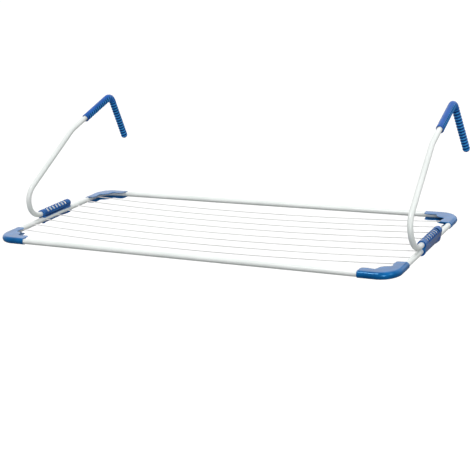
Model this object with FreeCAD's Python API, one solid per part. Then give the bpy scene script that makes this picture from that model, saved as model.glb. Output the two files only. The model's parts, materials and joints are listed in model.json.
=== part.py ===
import FreeCAD, Part
import math
import os

from FreeCAD import Vector

# Hang-on clothes airer: a bent steel tube frame strung with line wires, carried by
# two bent hook arms that slide and swivel in plastic clips on the side rails.
#
# Layout while building: X along the long rails with x = 0 at mid-length, Y from the
# front rail (y = 0) towards the railing, Z up with z = 0 in the plane of the rail
# centrelines.  The finished solids are moved so that the origin is the middle of the
# hang line, the line through the saddles of the two hooks.

# ---- driving dimensions, millimetres and degrees ----
FRAME_WIDTH = 1180.0          # between side rail centrelines
FRAME_DEPTH = 525.0           # between front and rear rail centrelines
TUBE_RADIUS = 7.5
FRAME_WALL = 1.0
CORNER_RADIUS = 45.0          # frame bend, on the centreline
SEAM_Y = 285.5                # where the front and rear halves of the frame butt
SPIGOT_LENGTH = 42.0
SPIGOT_WALL = 1.0

WIRE_COUNT = 8
WIRE_RADIUS = 1.4
WIRE_FACETS = 16              # sides of the polygon drawn for the wire's round section
WIRE_PITCH = 53.5
FIRST_WIRE_Y = 98.5
WIRE_SAG = 15.0
WIRE_END_INSET = 4.0          # from the side rail centreline to the wire's end
WIRE_HEAD_RADIUS = 2.2
WIRE_HEAD_LENGTH = 2.0

COVER_LEG = 90.0              # corner cover, from the ideal corner to its end
COVER_WALL = 2.0
COVER_MOUTH_HALF = 5.8        # half height of the cover's open inner side
LEG_LOBE_RADIUS = 16.0        # scalloped lips of the corner cover
LEG_LOBE_ALONG = 73.0
LEG_LOBE_INWARD = 9.0
MID_LOBE_RADIUS = 20.0
MID_LOBE_INWARD = 32.0
LIP_INWARD = 12.0             # plain width of the lips beside the tube

SLEEVE_OUTBOARD = 3.0         # sleeve axis from the side rail axis
SLEEVE_HEIGHT = 17.5
SLEEVE_RADIUS = 11.5
SLEEVE_MOUTH_Y = 201.0
SLEEVE_LENGTH = 139.0
SLEEVE_END_WALL = 3.0
SLEEVE_END_ROUND = 6.0
RUNNING_CLEARANCE = 0.06      # radial, arm tube in sleeve
GUIDE_LENGTH = 19.5           # close-fitting front of the sleeve; the rest is wider
WIDE_BORE_RADIUS = 9.3
JACKET_RADIUS = 11.0          # clip shell round the side rail
COLLAR_RADIUS = 12.2          # ring at the jacket's front end
COLLAR_LENGTH = 7.0
HEEL_RADIUS = 13.6            # swelling of the jacket near its rear end
HEEL_START_Y = 292.0
HEEL_PEAK_Y = 322.0
TAB_TOP = -5.0                # top of the snap tabs on the inboard side
TAB_GAP_FRONT = 4.0           # gap in the tabs ahead of and behind each wire
TAB_GAP_REAR = 14.0
WINDOW_COUNT = 7
WINDOW_PITCH = 14.5
FIRST_WINDOW_Y = 226.0
WINDOW_WIDTH = 9.6
WINDOW_FLOOR = 2.0            # above the sleeve axis
KEYWAY_WIDTH = 4.2
KEYWAY_DEPTH = 1.0

ARM_WALL = 0.8
ARM_LEAN = 5.0                # both arms lean inboard from the vertical
ARM_BEND_Y = 199.0            # start of the lower bend with the arm pushed home
ARM_TAIL = 111.0              # straight length inside the sleeve
LOWER_BEND = (52.0, 148.0)    # radius, angle
LOWER_RUN = 230.0
MIDDLE_BEND = (80.0, 14.0)
UPPER_RUN = 192.0
HOOK_BEND = (25.0, 81.0)
TIP_RUN = 141.0
RIGHT_ARM_NOTCHES_OUT = 1     # windows between the right arm's rest and pushed home

PLUG_FLANGE = 6.0
PLUG_SPIGOT = 25.0
PLUG_CLEARANCE = 0.05         # radial, spigot in the arm tube
PIP_WIDTH = 4.0
PIP_LENGTH = 4.0
PIP_HEIGHT = 0.8

GRIP_BEFORE_HOOK = 128.0      # hook cover's length along the upper run
GRIP_RADIUS = 10.7
GRIP_KEEL = 2.3               # extra depth of the cover on the saddle side
RIB_PITCH = 10.0
RIB_GROOVE_WIDTH = 4.4
RIB_GROOVE_DEPTH = 1.8
GRIP_SPINE_HALF = 4.5         # half width of the plain spine on the outer side

# ---- worked-out places ----
SIDE_X = FRAME_WIDTH / 2
SLEEVE_X = SIDE_X + SLEEVE_OUTBOARD
SLEEVE_REAR_Y = SLEEVE_MOUTH_Y + SLEEVE_LENGTH
BORE_RADIUS = TUBE_RADIUS + RUNNING_CLEARANCE
ARM_BORE = TUBE_RADIUS - ARM_WALL
WIRE_Y = [FIRST_WIRE_Y + WIRE_PITCH * index for index in range(WIRE_COUNT)]
WINDOW_Y = [FIRST_WINDOW_Y + WINDOW_PITCH * index for index in range(WINDOW_COUNT)]
UP = Vector(0, 0, 1)
OUT_OF_ARM_PLANE = Vector(-1, 0, 0)


class Path:
    """A planar run of straight lines and tangent arcs, for bent tubes."""

    def __init__(self, start, heading, normal):
        self.start = start
        self.start_heading = heading
        self.point = start
        self.heading = heading
        self.normal = normal
        self.edges = []

    def run(self, length):
        end = self.point + self.heading * length
        self.edges.append(Part.LineSegment(self.point, end).toShape())
        self.point = end
        return self

    def bend(self, radius, degrees):
        inward = self.normal.cross(self.heading)
        centre = self.point + inward * radius

        def on_arc(angle):
            turn = math.radians(angle)
            return centre - inward * radius * math.cos(turn) + self.heading * radius * math.sin(turn)

        end = on_arc(degrees)
        self.edges.append(Part.Arc(self.point, on_arc(degrees / 2), end).toShape())
        turn = math.radians(degrees)
        self.heading = self.heading * math.cos(turn) + inward * math.sin(turn)
        self.point = end
        return self

    def sweep(self, profile):
        return Part.Wire(self.edges).makePipeShell([profile], True, False)

    def rod(self, radius):
        circle = Part.Circle(self.start, self.start_heading, radius).toShape()
        return self.sweep(Part.Wire([circle]))

    def tube(self, radius, wall):
        return self.rod(radius).cut(self.rod(radius - wall))


def cylinder_y(radius, y_start, y_end, x, z):
    return Part.makeCylinder(radius, y_end - y_start, Vector(x, y_start, z), Vector(0, 1, 0))


def cone_y(radius_start, radius_end, y_start, y_end, x, z):
    return Part.makeCone(radius_start, radius_end, y_end - y_start, Vector(x, y_start, z), Vector(0, 1, 0))


def box_between(low, high):
    size = Vector(*high) - Vector(*low)
    return Part.makeBox(size.x, size.y, size.z, Vector(*low))


def plate(points_and_arcs, z_low, z_high):
    face = Part.Face(Part.Wire(points_and_arcs))
    face.translate(Vector(0, 0, z_low))
    return face.extrude(Vector(0, 0, z_high - z_low))


def mirrored_x(shape):
    return shape.mirror(Vector(0, 0, 0), Vector(1, 0, 0))


# ---- line wires ----
def wire_path(y):
    end_x = SIDE_X - WIRE_END_INSET
    left = Vector(-end_x, y, 0)
    right = Vector(end_x, y, 0)
    arc = Part.Arc(left, Vector(0, y, -WIRE_SAG), right)
    return arc.toShape()


def wire_section(centre, heading):
    """Corners of the wire's section, a closed polygon of the same area as its circle."""
    across = heading.cross(Vector(0, 1, 0)).normalize()
    along_y = Vector(0, 1, 0)
    step = 2 * math.pi / WIRE_FACETS
    radius = WIRE_RADIUS * math.sqrt(step / math.sin(step))
    angles = [step * (index + 0.5) for index in range(WIRE_FACETS + 1)]
    return [centre + across * radius * math.sin(a) + along_y * radius * math.cos(a) for a in angles]


def line_wire(y, with_heads=True):
    edge = wire_path(y)
    start = edge.valueAt(edge.FirstParameter)
    heading = edge.tangentAt(edge.FirstParameter)
    section = Part.makePolygon(wire_section(start, heading))
    wire = Part.Wire([edge]).makePipeShell([section], True, False)
    if not with_heads:
        return wire
    head_x = SIDE_X - WIRE_END_INSET - WIRE_HEAD_LENGTH
    head = Part.makeCylinder(WIRE_HEAD_RADIUS, WIRE_HEAD_LENGTH, Vector(head_x, y, 0), Vector(1, 0, 0))
    return wire.fuse([head, mirrored_x(head)])


# ---- frame tube halves and the spigots that join them ----
def frame_half(y_front_or_rear, direction):
    """direction is -1 for the front half, which runs forward from the seam, +1 for the rear."""
    leg = abs(y_front_or_rear - SEAM_Y) - CORNER_RADIUS
    start = Vector(direction * SIDE_X, SEAM_Y, 0)
    path = Path(start, Vector(0, direction, 0), UP)
    path.run(leg).bend(CORNER_RADIUS, 90)
    path.run(FRAME_WIDTH - 2 * CORNER_RADIUS)
    path.bend(CORNER_RADIUS, 90).run(leg)
    half = path.tube(TUBE_RADIUS, FRAME_WALL)
    on_this_side = [y for y in WIRE_Y if (y - SEAM_Y) * direction > 0]
    return half.cut([line_wire(y, with_heads=False) for y in on_this_side])


def frame_spigot(x):
    bore = TUBE_RADIUS - FRAME_WALL
    y_start = SEAM_Y - SPIGOT_LENGTH / 2
    y_end = SEAM_Y + SPIGOT_LENGTH / 2
    outer = cylinder_y(bore, y_start, y_end, x, 0)
    return outer.cut(cylinder_y(bore - SPIGOT_WALL, y_start, y_end, x, 0))


# ---- corner covers ----
def corner_region(offset, reach):
    """Plan area on the inner side of the bent tube, offset inwards from its centreline."""
    radius = CORNER_RADIUS - offset
    centre = Vector(CORNER_RADIUS, CORNER_RADIUS, 0)
    along_x = Vector(CORNER_RADIUS, offset, 0)
    along_y = Vector(offset, CORNER_RADIUS, 0)
    middle = centre - Vector(1, 1, 0).normalize() * radius
    corners = [along_y, Vector(offset, reach, 0), Vector(reach, reach, 0), Vector(reach, offset, 0), along_x]
    edges = [Part.LineSegment(a, b).toShape() for a, b in zip(corners, corners[1:])]
    edges.append(Part.Arc(along_x, middle, along_y).toShape())
    return edges


def lip(z_low, z_high):
    """One scalloped lip: a band beside the tube with a lobe on each leg and one in the bend."""
    reach = COVER_LEG
    height = z_high - z_low
    inner_side = plate(corner_region(0, reach), z_low, z_high)
    band = inner_side.cut(plate(corner_region(LIP_INWARD, reach + 1), z_low - 1, z_high + 1))

    def disc(radius, x, y):
        return Part.makeCylinder(radius, height, Vector(x, y, z_low))

    lobes = [
        disc(LEG_LOBE_RADIUS, LEG_LOBE_ALONG, LEG_LOBE_INWARD),
        disc(LEG_LOBE_RADIUS, LEG_LOBE_INWARD, LEG_LOBE_ALONG),
        disc(MID_LOBE_RADIUS, MID_LOBE_INWARD, MID_LOBE_INWARD),
    ]
    return band.fuse([lobe.common(inner_side) for lobe in lobes])


def corner_cover():
    """Cover for a corner whose rails run along +X and +Y from the ideal corner at the origin."""
    path = Path(Vector(COVER_LEG, 0, 0), Vector(-1, 0, 0), Vector(0, 0, -1))
    path.run(COVER_LEG - CORNER_RADIUS).bend(CORNER_RADIUS, 90).run(COVER_LEG - CORNER_RADIUS)
    outer = path.rod(TUBE_RADIUS + COVER_WALL)
    top = lip(TUBE_RADIUS, TUBE_RADIUS + COVER_WALL)
    bottom = lip(-TUBE_RADIUS - COVER_WALL, -TUBE_RADIUS)
    mouth = plate(corner_region(2.0, COVER_LEG + 1), -COVER_MOUTH_HALF, COVER_MOUTH_HALF)
    cover = outer.fuse([top, bottom]).cut([path.rod(TUBE_RADIUS), mouth])
    return cover.removeSplitter()


def place_corner(cover, x_sign, at_rear):
    placed = cover.copy()
    if at_rear:
        placed = placed.mirror(Vector(0, 0, 0), Vector(0, 1, 0))
    placed.translate(Vector(-SIDE_X, FRAME_DEPTH if at_rear else 0, 0))
    return mirrored_x(placed) if x_sign > 0 else placed


# ---- clips ----
def tangent_points():
    """Outboard tangent points of the jacket and sleeve circles, as (x, z) from the rail axis."""
    spacing = math.hypot(SLEEVE_OUTBOARD, SLEEVE_HEIGHT)
    direction = math.atan2(SLEEVE_HEIGHT, SLEEVE_OUTBOARD)
    normal = direction - math.acos((JACKET_RADIUS - SLEEVE_RADIUS) / spacing)
    nx, nz = math.cos(normal), math.sin(normal)
    on_jacket = (JACKET_RADIUS * nx, JACKET_RADIUS * nz)
    on_sleeve = (SLEEVE_OUTBOARD + SLEEVE_RADIUS * nx, SLEEVE_HEIGHT + SLEEVE_RADIUS * nz)
    return on_jacket, on_sleeve


def clip_blank():
    """Sleeve, rail jacket and outboard skirt, before the bores and windows are cut."""
    sleeve = cylinder_y(SLEEVE_RADIUS, SLEEVE_MOUTH_Y, SLEEVE_REAR_Y, SLEEVE_X, SLEEVE_HEIGHT)
    rear_rim = [edge for edge in sleeve.Edges
                if edge.Closed and abs(edge.CenterOfMass.y - SLEEVE_REAR_Y) < 0.01]
    sleeve = sleeve.makeFillet(SLEEVE_END_ROUND, rear_rim)
    skirt_rear_y = SLEEVE_REAR_Y - SLEEVE_END_ROUND
    jacket = cylinder_y(JACKET_RADIUS, SLEEVE_MOUTH_Y, skirt_rear_y, SIDE_X, 0)
    collar = cylinder_y(COLLAR_RADIUS, SLEEVE_MOUTH_Y, SLEEVE_MOUTH_Y + COLLAR_LENGTH, SIDE_X, 0)
    heel = [
        cone_y(JACKET_RADIUS, HEEL_RADIUS, HEEL_START_Y, HEEL_PEAK_Y, SIDE_X, 0),
        cone_y(HEEL_RADIUS, JACKET_RADIUS, HEEL_PEAK_Y, skirt_rear_y, SIDE_X, 0),
    ]
    on_jacket, on_sleeve = tangent_points()
    outline = [(0, 0), on_jacket, on_sleeve, (SLEEVE_OUTBOARD, SLEEVE_HEIGHT), (0, 0)]
    polygon = Part.makePolygon([Vector(SIDE_X + x, SLEEVE_MOUTH_Y, z) for x, z in outline])
    skirt = Part.Face(polygon).extrude(Vector(0, skirt_rear_y - SLEEVE_MOUTH_Y, 0))
    return sleeve.fuse([jacket, skirt, collar] + heel)


def clip_cuts():
    reach = HEEL_RADIUS + 1
    front = SLEEVE_MOUTH_Y - 1
    rear = SLEEVE_REAR_Y + 1
    bore_end = SLEEVE_REAR_Y - SLEEVE_END_WALL
    cuts = [
        cylinder_y(TUBE_RADIUS, front, rear, SIDE_X, 0),
        cylinder_y(BORE_RADIUS, front, bore_end, SLEEVE_X, SLEEVE_HEIGHT),
        cylinder_y(WIDE_BORE_RADIUS, SLEEVE_MOUTH_Y + GUIDE_LENGTH, bore_end, SLEEVE_X, SLEEVE_HEIGHT),
        box_between((SIDE_X - reach, front, TAB_TOP), (SIDE_X - 1, rear, 6.5)),
    ]
    for y in WIRE_Y:
        if SLEEVE_MOUTH_Y < y < SLEEVE_REAR_Y:
            low = (SIDE_X - reach, y - TAB_GAP_FRONT, -reach)
            high = (SIDE_X - 2, y + TAB_GAP_REAR, TAB_TOP + 1)
            cuts.append(box_between(low, high))
    for y in WINDOW_Y:
        low = (SLEEVE_X - reach, y - WINDOW_WIDTH / 2, SLEEVE_HEIGHT + WINDOW_FLOOR)
        high = (SLEEVE_X + reach, y + WINDOW_WIDTH / 2, SLEEVE_HEIGHT + reach)
        cuts.append(box_between(low, high))
    keyway_low = (SLEEVE_X - KEYWAY_WIDTH / 2, WINDOW_Y[0] - WINDOW_WIDTH / 2, SLEEVE_HEIGHT)
    keyway_top = SLEEVE_HEIGHT + WIDE_BORE_RADIUS + KEYWAY_DEPTH
    keyway_high = (SLEEVE_X + KEYWAY_WIDTH / 2, WINDOW_Y[-1] + WINDOW_WIDTH / 2, keyway_top)
    cuts.append(box_between(keyway_low, keyway_high))
    return cuts


def right_clip():
    return clip_blank().cut(clip_cuts()).removeSplitter()


# ---- hook arms, drawn upright on the right-hand sleeve axis ----
def arm_path(from_tail=True):
    bend_start = Vector(SLEEVE_X, ARM_BEND_Y, SLEEVE_HEIGHT)
    tail_end = bend_start + Vector(0, ARM_TAIL, 0)
    path = Path(tail_end, Vector(0, -1, 0), OUT_OF_ARM_PLANE)
    path.run(ARM_TAIL).bend(*LOWER_BEND).run(LOWER_RUN).bend(*MIDDLE_BEND)
    if from_tail:
        return path.run(UPPER_RUN).bend(*HOOK_BEND).run(TIP_RUN)
    path.run(UPPER_RUN - GRIP_BEFORE_HOOK)
    return Path(path.point, path.heading, OUT_OF_ARM_PLANE)


def arm_tube():
    return arm_path().tube(TUBE_RADIUS, ARM_WALL)


def arm_end_plug():
    tail_y = ARM_BEND_Y + ARM_TAIL
    spigot_radius = ARM_BORE - PLUG_CLEARANCE
    spigot = cylinder_y(spigot_radius, tail_y - PLUG_SPIGOT, tail_y, SLEEVE_X, SLEEVE_HEIGHT)
    flange_radius = WIDE_BORE_RADIUS - RUNNING_CLEARANCE
    flange = cylinder_y(flange_radius, tail_y, tail_y + PLUG_FLANGE, SLEEVE_X, SLEEVE_HEIGHT)
    pip_y = tail_y + PLUG_FLANGE / 2
    pip = box_between(
        (SLEEVE_X - PIP_WIDTH / 2, pip_y - PIP_LENGTH / 2, SLEEVE_HEIGHT),
        (SLEEVE_X + PIP_WIDTH / 2, pip_y + PIP_LENGTH / 2, SLEEVE_HEIGHT + flange_radius + PIP_HEIGHT),
    )
    return spigot.fuse([flange, pip]).removeSplitter()


def obround_profile(path):
    """Section of the hook cover: the tube's circle carried inwards by a keel."""
    inward = path.normal.cross(path.start_heading)
    side = path.normal * GRIP_RADIUS
    outer_centre = path.start
    inner_centre = path.start + inward * GRIP_KEEL
    outer_arc = Part.Arc(outer_centre + side, outer_centre - inward * GRIP_RADIUS, outer_centre - side)
    inner_arc = Part.Arc(inner_centre - side, inner_centre + inward * GRIP_RADIUS, inner_centre + side)
    sides = [
        Part.LineSegment(outer_centre - side, inner_centre - side),
        Part.LineSegment(inner_centre + side, outer_centre + side),
    ]
    return Part.Wire([part.toShape() for part in (outer_arc, sides[0], inner_arc, sides[1])])


def rib_groove(point, heading, keel):
    """A shallow groove round the cover's sides and inner face, stopping short of its spine."""
    inward = OUT_OF_ARM_PLANE.cross(heading)
    start = point - heading * (RIB_GROOVE_WIDTH / 2)
    rim = GRIP_RADIUS + 3
    core = GRIP_RADIUS - RIB_GROOVE_DEPTH
    outside = Part.makeCylinder(rim + keel, RIB_GROOVE_WIDTH, start, heading)
    inside = [
        Part.makeCylinder(core, RIB_GROOVE_WIDTH, start, heading),
        Part.makeCylinder(core, RIB_GROOVE_WIDTH, start + inward * keel, heading),
    ]
    if keel > 0:
        corners = [start + OUT_OF_ARM_PLANE * side * core + inward * depth
                   for side, depth in ((-1, 0), (1, 0), (1, keel), (-1, keel), (-1, 0))]
        inside.append(Part.Face(Part.makePolygon(corners)).extrude(heading * RIB_GROOVE_WIDTH))
    spine_corners = [start + OUT_OF_ARM_PLANE * side * GRIP_SPINE_HALF - inward * depth
                     for side, depth in ((-1, 0), (1, 0), (1, 2 * rim), (-1, 2 * rim), (-1, 0))]
    inside.append(Part.Face(Part.makePolygon(spine_corners)).extrude(heading * RIB_GROOVE_WIDTH))
    return outside.cut(inside)


def rib_grooves(path, length, keel):
    count = int((length - RIB_PITCH) / RIB_PITCH)
    return [rib_groove(path.start + path.start_heading * RIB_PITCH * (index + 1), path.start_heading, keel)
            for index in range(count)]


def hook_cover():
    upper = arm_path(from_tail=False)
    upper_ribs = rib_grooves(upper, GRIP_BEFORE_HOOK, GRIP_KEEL)
    upper.run(GRIP_BEFORE_HOOK).bend(*HOOK_BEND)
    tip = Path(upper.point, upper.heading, OUT_OF_ARM_PLANE)
    tip_ribs = rib_grooves(tip, TIP_RUN, 0)
    tip.run(TIP_RUN)
    body = upper.sweep(obround_profile(upper))
    tip_end = Part.makeSphere(GRIP_RADIUS, tip.point)
    body = body.fuse([tip.rod(GRIP_RADIUS), tip_end]).removeSplitter()
    return body.cut(upper_ribs + tip_ribs + [arm_path().rod(TUBE_RADIUS)])


def hang_point():
    """Height and depth of the saddle, under the top of the hook bend, on the leaning arm."""
    path = arm_path(from_tail=False)
    path.run(GRIP_BEFORE_HOOK)
    inward = OUT_OF_ARM_PLANE.cross(path.heading)
    centre = path.point + inward * HOOK_BEND[0]
    saddle_rise = centre.z + HOOK_BEND[0] - GRIP_RADIUS - GRIP_KEEL - SLEEVE_HEIGHT
    lean = math.radians(ARM_LEAN)
    inboard = saddle_rise * math.sin(lean)
    rise = saddle_rise * math.cos(lean)
    return Vector(SLEEVE_X - inboard, centre.y, SLEEVE_HEIGHT + rise)


def leaning(shape):
    """Turn a right-hand arm piece about the sleeve axis, so that it leans inboard."""
    leaned = shape.copy()
    leaned.rotate(Vector(SLEEVE_X, 0, SLEEVE_HEIGHT), Vector(0, 1, 0), -ARM_LEAN)
    return leaned


# ---- assembly ----
def build():
    nodes = {
        "front_frame_tube": frame_half(0, -1),
        "rear_frame_tube": frame_half(FRAME_DEPTH, 1),
        "left_frame_spigot": frame_spigot(-SIDE_X),
        "right_frame_spigot": frame_spigot(SIDE_X),
    }
    for number, y in enumerate(WIRE_Y, start=1):
        nodes["line_wire_%d" % number] = line_wire(y)
    cover = corner_cover()
    for name, x_sign, at_rear in (
        ("front_left", -1, False),
        ("front_right", 1, False),
        ("rear_left", -1, True),
        ("rear_right", 1, True),
    ):
        nodes[name + "_corner_cover"] = place_corner(cover, x_sign, at_rear)
    right_side = {
        "clip": right_clip(),
        "arm_tube": leaning(arm_tube()),
        "arm_end_plug": arm_end_plug(),
        "hook_cover": leaning(hook_cover()),
    }
    pulled_out = Vector(0, -RIGHT_ARM_NOTCHES_OUT * WINDOW_PITCH, 0)
    for name, shape in right_side.items():
        nodes["left_" + name] = mirrored_x(shape)
        nodes["right_" + name] = shape if name == "clip" else shape.translated(pulled_out)
    return nodes


def main():
    os.makedirs("parts", exist_ok=True)
    saddle = hang_point()
    saddle.y -= RIGHT_ARM_NOTCHES_OUT * WINDOW_PITCH / 2
    print("hang line x +-%.2f y %.2f z %.2f" % (saddle.x, saddle.y, saddle.z))
    for name, shape in build().items():
        shape.translate(Vector(0, -saddle.y, -saddle.z))
        shape.exportStep("parts/%s.step" % name)
        box = shape.BoundBox
        print("%-26s valid %s solids %d volume %9.1f  X %.1f..%.1f Y %.1f..%.1f Z %.1f..%.1f" % (
            name, shape.isValid(), len(shape.Solids), shape.Volume,
            box.XMin, box.XMax, box.YMin, box.YMax, box.ZMin, box.ZMax))


main()
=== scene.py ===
import json
import math

import bpy
from mathutils import Matrix, Vector


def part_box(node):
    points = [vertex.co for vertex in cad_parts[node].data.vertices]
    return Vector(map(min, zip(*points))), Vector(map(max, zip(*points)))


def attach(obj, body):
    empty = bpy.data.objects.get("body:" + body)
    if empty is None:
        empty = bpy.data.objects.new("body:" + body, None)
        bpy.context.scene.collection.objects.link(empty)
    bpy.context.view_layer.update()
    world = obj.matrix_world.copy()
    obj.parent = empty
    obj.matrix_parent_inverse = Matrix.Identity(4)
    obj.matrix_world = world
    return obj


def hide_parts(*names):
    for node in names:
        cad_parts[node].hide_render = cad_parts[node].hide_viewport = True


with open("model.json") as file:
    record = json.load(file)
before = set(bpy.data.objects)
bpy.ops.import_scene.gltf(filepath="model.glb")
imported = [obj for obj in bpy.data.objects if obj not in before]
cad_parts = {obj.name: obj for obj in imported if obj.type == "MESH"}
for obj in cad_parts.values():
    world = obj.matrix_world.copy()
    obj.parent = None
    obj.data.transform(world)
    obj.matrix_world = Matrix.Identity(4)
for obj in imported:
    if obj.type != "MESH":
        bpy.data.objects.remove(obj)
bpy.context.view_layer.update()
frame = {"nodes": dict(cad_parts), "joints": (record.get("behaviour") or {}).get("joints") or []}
nodes = frame["nodes"]
joints = {joint["name"]: joint for joint in frame["joints"]}

# ---- places, in metres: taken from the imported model, with the tube's radius, bend and arm lean repeated ----
TUBE_R = 0.0075
front_low, front_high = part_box("front_frame_tube")
rear_low, rear_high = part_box("rear_frame_tube")
SIDE_X = front_high.x - TUBE_R
FRONT_Y = front_low.y + TUBE_R
REAR_Y = rear_high.y - TUBE_R
RAIL_Z = (front_low.z + front_high.z) / 2
CORNER_R = 0.045
LEAN = math.radians(5.0)


# ---- materials ----
def new_material(name):
    material = bpy.data.materials.new(name)
    material.use_nodes = True
    tree = material.node_tree
    return material, tree, tree.nodes["Principled BSDF"]


def add(tree, kind, **settings):
    node = tree.nodes.new(kind)
    for key, value in settings.items():
        if key in node.inputs:
            node.inputs[key].default_value = value
        else:
            setattr(node, key, value)
    return node


def noise(tree, scale, detail=3.0, stretch=(1, 1, 1)):
    place = add(tree, "ShaderNodeTexCoord")
    mapping = add(tree, "ShaderNodeMapping")
    mapping.inputs["Scale"].default_value = stretch
    texture = add(tree, "ShaderNodeTexNoise", Scale=scale, Detail=detail)
    tree.links.new(place.outputs["Object"], mapping.inputs["Vector"])
    tree.links.new(mapping.outputs["Vector"], texture.inputs["Vector"])
    return texture.outputs["Fac"]


def ramp(tree, factor, stops):
    node = add(tree, "ShaderNodeValToRGB")
    elements = node.color_ramp.elements
    while len(elements) < len(stops):
        elements.new(0.5)
    for element, (position, colour) in zip(elements, stops):
        element.position = position
        element.color = (*colour, 1)
    tree.links.new(factor, node.inputs["Fac"])
    return node.outputs["Color"]


def mix(tree, factor, first, second, blend="MIX"):
    node = add(tree, "ShaderNodeMix", data_type="RGBA", blend_type=blend)
    if isinstance(factor, float):
        node.inputs["Factor"].default_value = factor
    else:
        tree.links.new(factor, node.inputs["Factor"])
    tree.links.new(first, node.inputs["A"])
    tree.links.new(second, node.inputs["B"])
    return node.outputs["Result"]


def spread(tree, factor, low, high):
    node = add(tree, "ShaderNodeMapRange")
    node.inputs["To Min"].default_value = low
    node.inputs["To Max"].default_value = high
    tree.links.new(factor, node.inputs["Value"])
    return node.outputs["Result"]


def bump(tree, shader, height, strength, distance):
    node = add(tree, "ShaderNodeBump", Strength=strength, Distance=distance)
    tree.links.new(height, node.inputs["Height"])
    tree.links.new(node.outputs["Normal"], shader.inputs["Normal"])


RELIEF = "rib_relief"             # 0 on the crest of a rib, PLAIN_RELIEF on plain surface, 1 in the groove
PLAIN_RELIEF = 0.45
# painted highlight and shade on the ribs: crests are multiplied many times brighter as painted glints, grooves
# are darkened as painted shade, plain surface stays at 1
RIB_PAINTED_HIGHLIGHT_AND_SHADE = [(0.0, (30.0, 6.0, 2.3)), (0.2, (14.0, 4.0, 1.9)), (0.42, (1, 1, 1)), (0.6, (1, 1, 1)),
                 (0.95, (0.3, 0.28, 0.32))]


def gloss_plastic(name, deep, main, edge, roughness, coat, ribbed=False):
    """Moulded plastic: slow colour drift, painted shade in hollows, paler worn edges, fine orange peel; when
    ribbed, also painted highlights on the rib crests and painted shade in the grooves.
    """
    material, tree, shader = new_material(name)
    body = ramp(tree, noise(tree, 26.0), [(0.3, deep), (0.7, main)])
    if ribbed:
        relief = add(tree, "ShaderNodeAttribute", attribute_name=RELIEF).outputs["Fac"]
        # painted highlights on the rib crests and painted shade in the grooves, read from the rib relief
        body = mix(tree, 1.0, body, ramp(tree, relief, RIB_PAINTED_HIGHLIGHT_AND_SHADE), "MULTIPLY")
    pointiness = add(tree, "ShaderNodeNewGeometry").outputs["Pointiness"]
    # painted shade: creases and hollows (low pointiness) are darkened to a quarter, standing in for the shade
    # that falls there
    painted_cavity_shade = ramp(tree, pointiness, [(0.44, (0.25, 0.25, 0.25)), (0.495, (1, 1, 1))])
    edges = ramp(tree, pointiness, [(0.505, (0, 0, 0)), (0.58, (0.6, 0.6, 0.6))])
    edge_colour = ramp(tree, noise(tree, 90.0), [(0.35, main), (0.65, edge)])
    shaded = mix(tree, 1.0, body, painted_cavity_shade, "MULTIPLY")
    tree.links.new(mix(tree, edges, shaded, edge_colour), shader.inputs["Base Color"])
    tree.links.new(spread(tree, noise(tree, 60.0), *roughness), shader.inputs["Roughness"])
    bump(tree, shader, noise(tree, 420.0, 2.0), 0.06, 0.0004)
    shader.inputs["Specular IOR Level"].default_value = 0.6
    shader.inputs["Specular Tint"].default_value = (0.15, 0.6, 1.0, 1)
    shader.inputs["Coat Weight"].default_value = coat
    shader.inputs["Coat Roughness"].default_value = 0.08
    return material


def powder_coat(name, low, high, roughness=(0.3, 0.42), peel=1100.0, lift=0.12):
    """White coating on steel: faint tint drift and powder-coat peel."""
    material, tree, shader = new_material(name)
    body = ramp(tree, noise(tree, 9.0), [(0.3, low), (0.7, high)])
    speckle = ramp(tree, noise(tree, 700.0, 4.0), [(0.3, (0.94, 0.94, 0.94)), (0.6, (1, 1, 1))])
    tree.links.new(mix(tree, 1.0, body, speckle, "MULTIPLY"), shader.inputs["Base Color"])
    tree.links.new(spread(tree, noise(tree, 45.0), *roughness), shader.inputs["Roughness"])
    bump(tree, shader, noise(tree, peel, 2.0), lift, 0.0002)
    shader.inputs["Coat Weight"].default_value = 0.25
    shader.inputs["Coat Roughness"].default_value = 0.2
    return material


def brushed_steel(name):
    material, tree, shader = new_material(name)
    streaks = noise(tree, 300.0, 4.0, (1, 0.03, 1))
    body = ramp(tree, streaks, [(0.3, (0.42, 0.43, 0.45)), (0.7, (0.6, 0.61, 0.62))])
    tree.links.new(body, shader.inputs["Base Color"])
    tree.links.new(spread(tree, streaks, 0.25, 0.45), shader.inputs["Roughness"])
    shader.inputs["Metallic"].default_value = 1.0
    return material


def matt_plastic(name, low, high):
    material, tree, shader = new_material(name)
    tree.links.new(ramp(tree, noise(tree, 55.0), [(0.3, low), (0.7, high)]), shader.inputs["Base Color"])
    tree.links.new(spread(tree, noise(tree, 120.0), 0.45, 0.6), shader.inputs["Roughness"])
    bump(tree, shader, noise(tree, 900.0, 2.0), 0.15, 0.0003)
    return material


white_tube = powder_coat("white_powder_coat", (0.71, 0.75, 0.73), (0.79, 0.82, 0.805))
white_line = powder_coat("white_line_coating", (0.74, 0.74, 0.73), (0.82, 0.82, 0.81),
                         (0.35, 0.5), 1500.0, 0.08)
steel = brushed_steel("zinc_plated_steel")
white_plastic = matt_plastic("white_moulded_plastic", (0.74, 0.75, 0.74), (0.82, 0.83, 0.82))
corner_blue = gloss_plastic("corner_blue", (0.0, 0.065, 0.22), (0.001, 0.115, 0.36), (0.04, 0.28, 0.58),
                            (0.08, 0.15), 0.15)
clip_blue = gloss_plastic("clip_blue", (0.0, 0.035, 0.18), (0.001, 0.062, 0.29), (0.03, 0.18, 0.48),
                          (0.16, 0.26), 0.0)
grip_blue = gloss_plastic("grip_blue", (0.001, 0.05, 0.27), (0.003, 0.08, 0.4), (0.05, 0.26, 0.62),
                          (0.2, 0.3), 0.0, ribbed=True)

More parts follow.
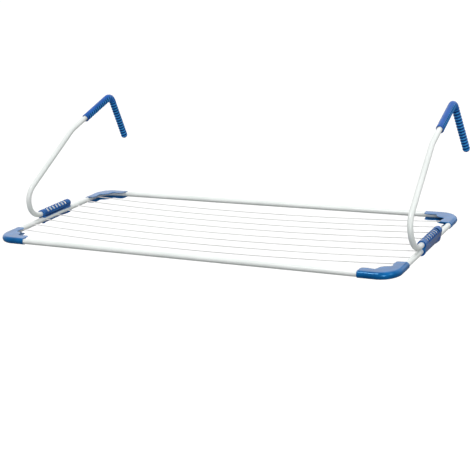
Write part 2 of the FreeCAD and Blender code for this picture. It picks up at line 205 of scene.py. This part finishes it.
BY_START = [
    ("line_wire", white_line), ("left_frame_spigot", steel), ("right_frame_spigot", steel),
    ("front_frame", white_tube), ("rear_frame", white_tube),
    ("left_arm_tube", white_tube), ("right_arm_tube", white_tube),
    ("left_arm_end_plug", white_plastic), ("right_arm_end_plug", white_plastic),
]


def paint(piece, material):
    piece.data.materials.clear()
    piece.data.materials.append(material)


for name, node in nodes.items():
    for start, material in BY_START:
        if name.startswith(start):
            paint(node, material)


# ---- mesh helpers ----
def make_piece(name, points, faces, material, body, node):
    mesh = bpy.data.meshes.new(name)
    mesh.from_pydata([tuple(p) for p in points], [], faces)
    mesh.validate()
    mesh.update()
    piece = bpy.data.objects.new(name, mesh)
    bpy.context.scene.collection.objects.link(piece)
    paint(piece, material)
    for polygon in mesh.polygons:
        polygon.use_smooth = True
    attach(piece, body)
    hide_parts(node)
    return piece


def ring_faces(ring_count, ring_size, flip=False):
    """Quads between successive closed rings, each of ring_size points."""
    faces = []
    for i in range(ring_count - 1):
        for j in range(ring_size):
            k = (j + 1) % ring_size
            quad = [i * ring_size + j, i * ring_size + k, (i + 1) * ring_size + k, (i + 1) * ring_size + j]
            faces.append(quad[::-1] if flip else quad)
    return faces


def smooth_step(t):
    t = max(0.0, min(1.0, t))
    return t * t * (3 - 2 * t)


# ---- hook covers ----
LOWER_R, LOWER_TURN, LOWER_RUN = 0.052, math.radians(148), 0.230
MIDDLE_R, MIDDLE_TURN, UPPER_RUN = 0.080, math.radians(14), 0.192
HOOK_R, HOOK_TURN, TIP_RUN = 0.025, math.radians(81), 0.141
GRIP_LENGTH = 0.128
GRIP_R = 0.0107
KEEL = 0.0023
RIB_PITCH = 0.010
RIB_DEPTH = 0.0022
BEND_RIB_SHARE = 0.5              # ribs are shallower round the crook
PLAIN_MOUTH = 0.006               # no ribs on the cover's first few millimetres
GRIP_SIDES = 56
GRIP_STEP = 0.0008
TIP_RINGS = 10
# (distance inside the mouth, radius) of the open recess, then of the rolled rim
MOUTH_RECESS = [(0.012, 0.0077), (0.010, 0.0081), (0.004, 0.00835), (0.0012, 0.0085), (0.0003, 0.0087)]
MOUTH_RIM = [(0.0, 0.0096), (0.0002, 0.0101), (0.0007, 0.0105), (0.002, 0.0107), (0.004, 0.0107)]
RIM_LENGTH = 0.005


class ArmLine:
    """The arm's centreline in its own plane: y away from the viewer, z up, from the lower bend's start."""

    def __init__(self):
        self.parts = []
        self.y, self.z, self.heading = 0.0, 0.0, math.pi
        self.length = 0.0

    def run(self, length):
        self.parts.append((self.length, length, self.y, self.z, self.heading, 0.0))
        self.y += length * math.cos(self.heading)
        self.z += length * math.sin(self.heading)
        self.length += length

    def bend(self, radius, turn):
        self.parts.append((self.length, radius * turn, self.y, self.z, self.heading, radius))
        centre_y = self.y + radius * math.sin(self.heading)
        centre_z = self.z - radius * math.cos(self.heading)
        self.heading -= turn
        self.y = centre_y - radius * math.sin(self.heading)
        self.z = centre_z + radius * math.cos(self.heading)
        self.length += radius * turn

    def at(self, s):
        for start, length, y, z, heading, radius in self.parts:
            if s <= start + length + 1e-9:
                break
        s -= start
        if not radius:
            return y + s * math.cos(heading), z + s * math.sin(heading), heading
        turned = heading - s / radius
        centre_y = y + radius * math.sin(heading)
        centre_z = z - radius * math.cos(heading)
        return centre_y - radius * math.sin(turned), centre_z + radius * math.cos(turned), turned


arm_line = ArmLine()
arm_line.bend(LOWER_R, LOWER_TURN)
arm_line.run(LOWER_RUN)
arm_line.bend(MIDDLE_R, MIDDLE_TURN)
arm_line.run(UPPER_RUN)
HOOK_START = arm_line.length
arm_line.bend(HOOK_R, HOOK_TURN)
TIP_START = arm_line.length
arm_line.run(TIP_RUN)
TIP_END = arm_line.length
MOUTH = HOOK_START - GRIP_LENGTH


def arm_point(side, across, y, z):
    """A point of the arm's own plane, leaned about the sleeve axis; across is outboard."""
    pivot = joints[side + "_arm_swivel"]["pos_m"]
    sign = 1 if side == "right" else -1
    x = across * math.cos(LEAN) - z * math.sin(LEAN)
    lifted = across * math.sin(LEAN) + z * math.cos(LEAN)
    return Vector((pivot[0] + sign * x, pivot[1] + y, pivot[2] + lifted))


def cover_offset(angle, keel, radius):
    """Section of the cover: (across, towards the crook) at an angle, 0 on the spine, pi inside the crook."""
    across = radius * math.sin(angle)
    inward = -radius * math.cos(angle)
    blend = smooth_step((1 - math.cos(angle)) / 2 * 2.2 - 0.6)
    return across, inward + keel * blend


def rib_share(s, angle):
    """Strength of the ribs and depth of the groove, both 0 to 1; the outer side stays plain."""
    if s < MOUTH + PLAIN_MOUTH:
        return 0.0, 0.0
    in_crook = HOOK_START - 0.002 < s < TIP_START + 0.002
    bend_share = BEND_RIB_SHARE if in_crook else 1.0
    groove = 0.5 + 0.5 * math.cos(2 * math.pi * (s - MOUTH) / RIB_PITCH)
    inner_face = smooth_step((1 - math.cos(angle) - 0.25) / 0.4)
    return inner_face * bend_share, groove


def hook_cover(side):
    """Ribbed cover from its open mouth to its round tip, as rings along the arm."""
    around = GRIP_SIDES
    lines = [(MOUTH + depth, radius, 0.8) for depth, radius in MOUTH_RECESS]
    lines += [(MOUTH + depth, radius, 1.0) for depth, radius in MOUTH_RIM]
    body_start = MOUTH + RIM_LENGTH
    count = int((TIP_END - body_start) / GRIP_STEP)
    for i in range(count + 1):
        lines.append((body_start + (TIP_END - body_start) * i / count, GRIP_R, 1.0))
    points = []
    relief = []
    for s, radius, keel_share in lines:
        y, z, heading = arm_line.at(s)
        fade = 1 - smooth_step((s - HOOK_START - 0.01) / (TIP_START - HOOK_START))
        keel = KEEL * fade * keel_share
        for j in range(around):
            angle = 2 * math.pi * j / around
            strength, groove = rib_share(s, angle)
            # rib relief, which the grip material also uses to paint highlights on the crests and shade in the
            # grooves
            relief.append(PLAIN_RELIEF + strength * (groove - PLAIN_RELIEF))
            across, inward = cover_offset(angle, keel, radius - RIB_DEPTH * strength * groove)
            points.append(arm_point(side, across,
                                    y + inward * math.sin(heading),
                                    z - inward * math.cos(heading)))
    # round tip
    y, z, heading = arm_line.at(TIP_END)
    for i in range(1, TIP_RINGS):
        lift = math.pi / 2 * i / TIP_RINGS
        for j in range(around):
            angle = 2 * math.pi * j / around
            across, inward = cover_offset(angle, 0.0, GRIP_R * math.cos(lift))
            forward = GRIP_R * math.sin(lift)
            points.append(arm_point(side, across,
                                    y + forward * math.cos(heading) + inward * math.sin(heading),
                                    z + forward * math.sin(heading) - inward * math.cos(heading)))
    rings = len(points) // around
    faces = ring_faces(rings, around, flip=side == "left")
    points.append(arm_point(side, 0, y + GRIP_R * math.cos(heading), z + GRIP_R * math.sin(heading)))
    last = (rings - 1) * around
    for j in range(around):
        tri = [last + j, last + (j + 1) % around, len(points) - 1]
        faces.append(tri[::-1] if side == "left" else tri)
    piece = make_piece(side + "_grip", points, faces, grip_blue, side + "_arm", side + "_hook_cover")
    relief += [PLAIN_RELIEF] * (len(points) - len(relief))
    piece.data.attributes.new(RELIEF, "FLOAT", "POINT").data.foreach_set("value", relief)
    return piece


# ---- corner covers ----
COVER_R = 0.0095
COVER_LEG = 0.090
STATIONS = 121
LEG_SHARE = 0.62                  # share of a half cover's stations on its straight leg
BORE_R = 0.00755
BEVEL = 0.0005
# plan of the lip's edge over half a cover, from the leg's end to the diagonal: (along, inward)
LIP_EDGE = [(0.0900, 0.0135), (0.0893, 0.0185), (0.0868, 0.0222), (0.0820, 0.0240), (0.0750, 0.0246),
            (0.0680, 0.0241), (0.0620, 0.0229), (0.0575, 0.0222), (0.0542, 0.0229), (0.0520, 0.0253),
            (0.0503, 0.0293), (0.0486, 0.0345), (0.0463, 0.0395), (0.0429, 0.0429)]


def spline_point(points, t):
    """Catmull-Rom point at t from 0 to 1 along the list."""
    span = t * (len(points) - 1)
    i = min(int(span), len(points) - 2)
    u = span - i
    p = [points[max(0, min(len(points) - 1, i + k))] for k in (-1, 0, 1, 2)]
    result = []
    for axis in (0, 1):
        a, b, c, d = (q[axis] for q in p)
        result.append(0.5 * (2 * b + (c - a) * u + (2 * a - 5 * b + 4 * c - d) * u * u
                             + (3 * b - a - 3 * c + d) * u ** 3))
    return result


def cover_station(t):
    """Plan of a corner cover at t from 0, the long rail's leg, to 1, the side rail's leg.

    Gives the centreline point, its unit inward normal and the lip's edge point, from the ideal corner.
    """
    half = 2 * t if t <= 0.5 else 2 * (1 - t)
    if half <= LEG_SHARE:
        base = (COVER_LEG - (COVER_LEG - CORNER_R) * half / LEG_SHARE, 0.0)
        normal = (0.0, 1.0)
    else:
        turn = math.pi / 4 * (half - LEG_SHARE) / (1 - LEG_SHARE)
        base = (CORNER_R - CORNER_R * math.sin(turn), CORNER_R - CORNER_R * math.cos(turn))
        normal = (math.sin(turn), math.cos(turn))
    edge = spline_point(LIP_EDGE, half)
    if t > 0.5:
        base, normal, edge = base[::-1], normal[::-1], edge[::-1]
    return base, normal, edge


def cover_section(reach):
    """Closed section of the shell: (inward, height); reach is the lip's width from the tube's axis."""
    crown = 0.0004
    top_inset = 0.0007
    lip_steps = 7
    outer_steps = 22
    inner_steps = 14
    section = []
    for i in range(lip_steps + 1):
        share = i / lip_steps
        section.append(((reach - top_inset) * (1 - share), COVER_R + crown * (share - 1)))
    for i in range(1, outer_steps):
        angle = math.pi * i / outer_steps
        section.append((-COVER_R * math.sin(angle), COVER_R * math.cos(angle)))
    for i in range(lip_steps + 1):
        share = i / lip_steps
        section.append(((reach - top_inset) * share, -COVER_R + crown * share))
    # lower lip's edge and underside to the bore, as (inward, height above the tube's axis)
    lip_edge = [
        (reach, COVER_R - 0.0008),
        (reach - 0.0001, COVER_R - 0.0014),
        (reach - 0.0009, COVER_R - 0.0019),
    ]
    throat = [(0.0098, 0.0077), (0.0085, 0.0068), (0.0074, 0.0058), (0.0052, 0.0056)]
    section += [(inward, -height) for inward, height in lip_edge + throat]
    low = math.atan2(0.0056, 0.0052)
    for i in range(1, inner_steps):
        angle = low + (2 * math.pi - 2 * low) * i / inner_steps
        section.append((BORE_R * math.cos(angle), -BORE_R * math.sin(angle)))
    section += reversed(lip_edge + throat)
    return section


def corner_cover(name, x_sign, y_sign):
    """One shell round a bend; x_sign and y_sign say which corner, -1 for left and for front."""
    points = []
    for i in range(STATIONS):
        base, normal, edge = cover_station(i / (STATIONS - 1))
        to_edge = (edge[0] - base[0], edge[1] - base[1])
        reach = math.hypot(*to_edge)
        aim = (to_edge[0] / reach, to_edge[1] / reach)
        for inward, height in cover_section(reach):
            lean = smooth_step((inward - 0.004) / 0.008)
            px = base[0] + inward * (normal[0] * (1 - lean) + aim[0] * lean)
            py = base[1] + inward * (normal[1] * (1 - lean) + aim[1] * lean)
            x = x_sign * (SIDE_X - px)
            y = (FRONT_Y + py) if y_sign < 0 else (REAR_Y - py)
            points.append((x, y, RAIL_Z + height))
    size = len(points) // STATIONS
    flip = x_sign * y_sign > 0
    faces = ring_faces(STATIONS, size, flip)
    first = list(range(size))
    last = list(range((STATIONS - 1) * size, STATIONS * size))
    faces.append(first if flip else first[::-1])
    faces.append(last[::-1] if flip else last)
    piece = make_piece(name + "_cover", points, faces, corner_blue, "frame", name + "_corner_cover")
    rounding = piece.modifiers.new("edge_round", "BEVEL")
    rounding.width = BEVEL
    rounding.segments = 2
    rounding.angle_limit = math.radians(50)
    return piece


for side in ("left", "right"):
    hook_cover(side)
for name, x_sign, y_sign in (("front_left", -1, -1), ("front_right", 1, -1),
                             ("rear_left", -1, 1), ("rear_right", 1, 1)):
    corner_cover(name, x_sign, y_sign)

# ---- clips keep their CAD solids, with softened edges ----
for side in ("left", "right"):
    clip = nodes[side + "_clip"]
    paint(clip, clip_blue)
    rounding = clip.modifiers.new("edge_round", "BEVEL")
    rounding.width = 0.0006
    rounding.segments = 2
    rounding.angle_limit = math.radians(40)
    clip.modifiers.new("even_normals", "WEIGHTED_NORMAL")

# ---- floor, light, camera ----
FLOOR_DROP = 0.75                 # floor below the rails
FLOOR_REACH = 90.0
FLOOR_Z = RAIL_Z - FLOOR_DROP
floor_corners = [(x * FLOOR_REACH, y * FLOOR_REACH, FLOOR_Z) for x, y in ((-1, -1), (1, -1), (1, 1), (-1, 1))]
floor_mesh = bpy.data.meshes.new("studio_floor")
floor_mesh.from_pydata(floor_corners, [], [(0, 1, 2, 3)])
floor = bpy.data.objects.new("studio_floor", floor_mesh)
bpy.context.scene.collection.objects.link(floor)
floor_material, floor_tree, floor_shader = new_material("pale_floor")
floor_tint = ramp(floor_tree, noise(floor_tree, 0.4), [(0.3, (0.88, 0.88, 0.88)), (0.7, (0.9, 0.9, 0.9))])
floor_tree.links.new(floor_tint, floor_shader.inputs["Base Color"])
floor_shader.inputs["Roughness"].default_value = 0.9
floor_shader.inputs["Specular IOR Level"].default_value = 0.1
paint(floor, floor_material)
floor.visible_diffuse = False
floor.visible_glossy = False

world = bpy.data.worlds.new("studio")
bpy.context.scene.world = world
world.use_nodes = True
studio = world.node_tree
background = studio.nodes["Background"]
direction = add(studio, "ShaderNodeTexCoord").outputs["Generated"]
parts = add(studio, "ShaderNodeSeparateXYZ")
studio.links.new(direction, parts.inputs["Vector"])
HORIZON_SHARPNESS = 10.0          # full backdrop from a tenth of the way up
above = spread(studio, parts.outputs["Z"], 0.0, HORIZON_SHARPNESS)
floor_bounce = ramp(studio, parts.outputs["Y"], [(0.0, (0.14, 0.14, 0.14)), (0.55, (0.34, 0.34, 0.34))])
backdrop = ramp(studio, parts.outputs["Y"], [(0.0, (0.42, 0.42, 0.42)), (0.55, (1.2, 1.2, 1.2))])
studio.links.new(mix(studio, above, floor_bounce, backdrop), background.inputs["Color"])
background.inputs["Strength"].default_value = 1.0
bpy.context.scene.view_settings.view_transform = "Standard"


def soft_light(name, place, target, size, power):
    lamp = bpy.data.lights.new(name, "AREA")
    lamp.shape = "RECTANGLE"
    lamp.size, lamp.size_y = size
    lamp.energy = power
    holder = bpy.data.objects.new(name, lamp)
    holder.location = place
    holder.rotation_euler = (Vector(target) - Vector(place)).to_track_quat("-Z", "Y").to_euler()
    bpy.context.scene.collection.objects.link(holder)


def sun_light(name, direction, strength, spread_degrees):
    lamp = bpy.data.lights.new(name, "SUN")
    lamp.energy = strength
    lamp.angle = math.radians(spread_degrees)
    holder = bpy.data.objects.new(name, lamp)
    holder.rotation_euler = Vector(direction).to_track_quat("-Z", "Y").to_euler()
    bpy.context.scene.collection.objects.link(holder)


sun_light("overhead_softbox", (0.25, 0.35, -1.0), 1.5, 18)
sun_light("front_fill", (-0.5, 0.9, -0.3), 1.15, 25)
soft_light("right_window", (2.6, -1.2, 1.3), (0.5, -0.3, -0.2), (0.7, 1.6), 10)

CAMERA_PLACE = Vector((1.39611, -2.78056, 0.53894))
forward = Vector((-0.4622574, 0.83893494, -0.28723905)).normalized()
up = Vector((-0.07462509, 0.2859715, 0.9553279)).normalized()
right = forward.cross(up).normalized()
up = right.cross(forward)
camera_data = bpy.data.cameras.new("camera")
camera_data.sensor_width = 36.0
camera_data.lens = 80.9044
camera = bpy.data.objects.new("camera", camera_data)
camera.matrix_world = Matrix((
    (right.x, up.x, -forward.x, CAMERA_PLACE.x),
    (right.y, up.y, -forward.y, CAMERA_PLACE.y),
    (right.z, up.z, -forward.z, CAMERA_PLACE.z),
    (0, 0, 0, 1),
))
bpy.context.scene.collection.objects.link(camera)
bpy.context.scene.camera = camera
